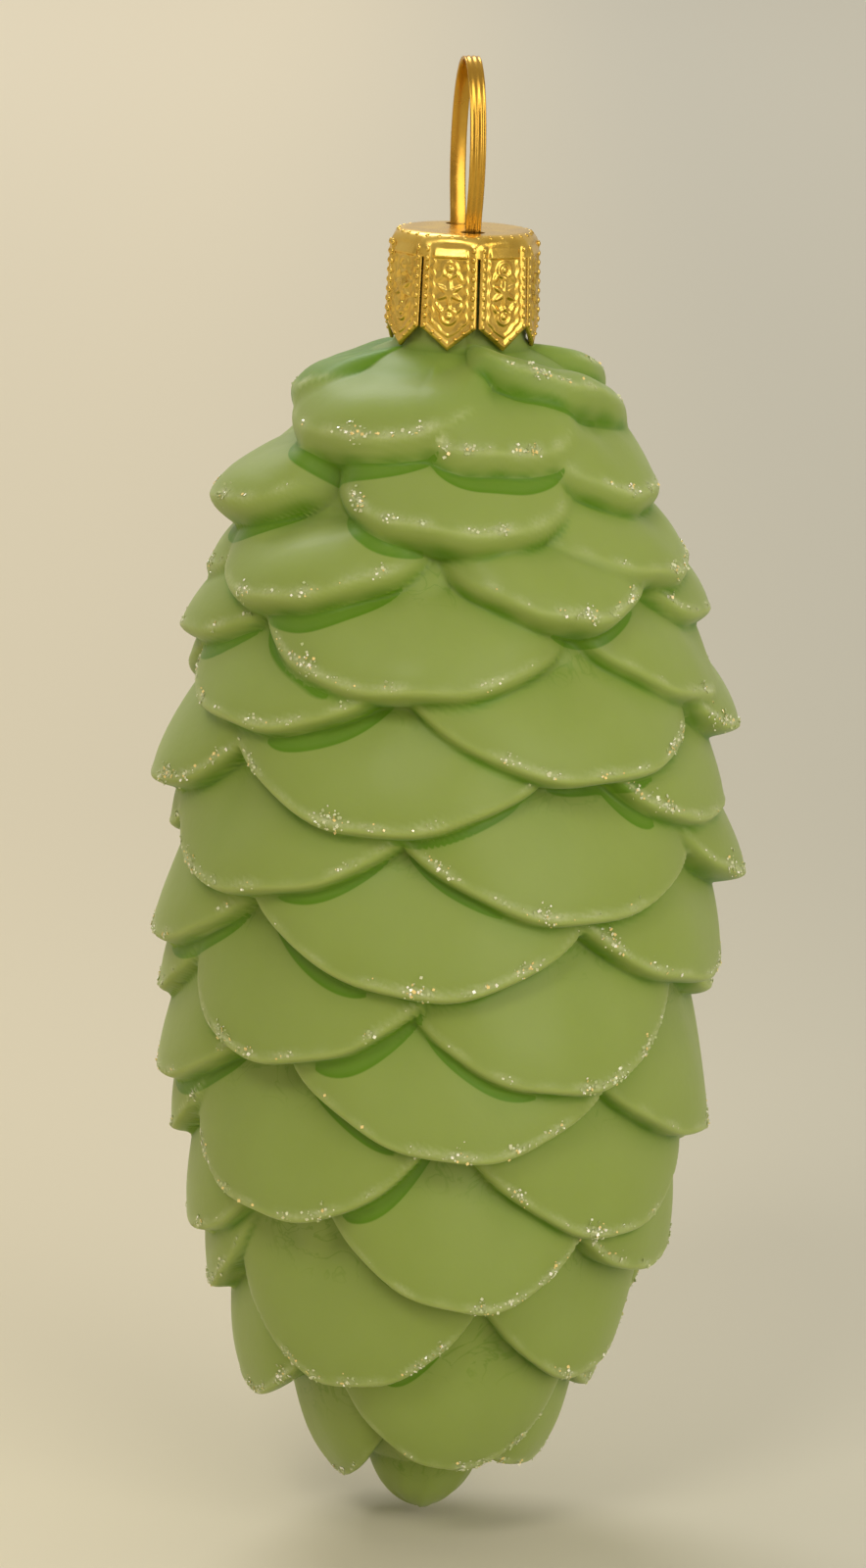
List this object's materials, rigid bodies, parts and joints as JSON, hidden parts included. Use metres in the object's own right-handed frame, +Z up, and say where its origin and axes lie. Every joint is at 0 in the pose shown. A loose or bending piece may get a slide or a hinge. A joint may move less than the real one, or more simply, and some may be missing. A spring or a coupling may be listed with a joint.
{
  "type": "pine cone ornament",
  "caption": "Hollow glass pine cone with overlapping rounded scales, hung from a stamped metal crown cap with a spring wire hanger.",
  "frame": {"origin": "inside top of the hanger's loop, where a hook bears", "axes": "+Z up along the cone's axis from its tip to the hanger; the loop lies in the YZ plane, so its eye runs along X; the pictured front is towards -Y"},
  "size_m": [0.0463, 0.0454, 0.1164],
  "materials": {
    "glass": "satin translucent green",
    "gold_cap": "bright gold lacquer",
    "gold_wire": "bright gold lacquer"
  },
  "bodies": {
    "glass body": {"glass_cone": "glass"},
    "cap body": {"cap": "gold_cap"},
    "hanger body": {"hanger": "gold_wire"}
  },
  "joints": [
    {"name": "cap_lift", "type": "slide", "parent": "glass body", "child": "cap body", "axis": [0, 0, 1], "range_m": [0, 0.036]},
    {"name": "hanger_slide", "type": "slide", "parent": "cap body", "child": "hanger body", "axis": [0, 0, 1], "range_m": [0, 0.004]}
  ]
}
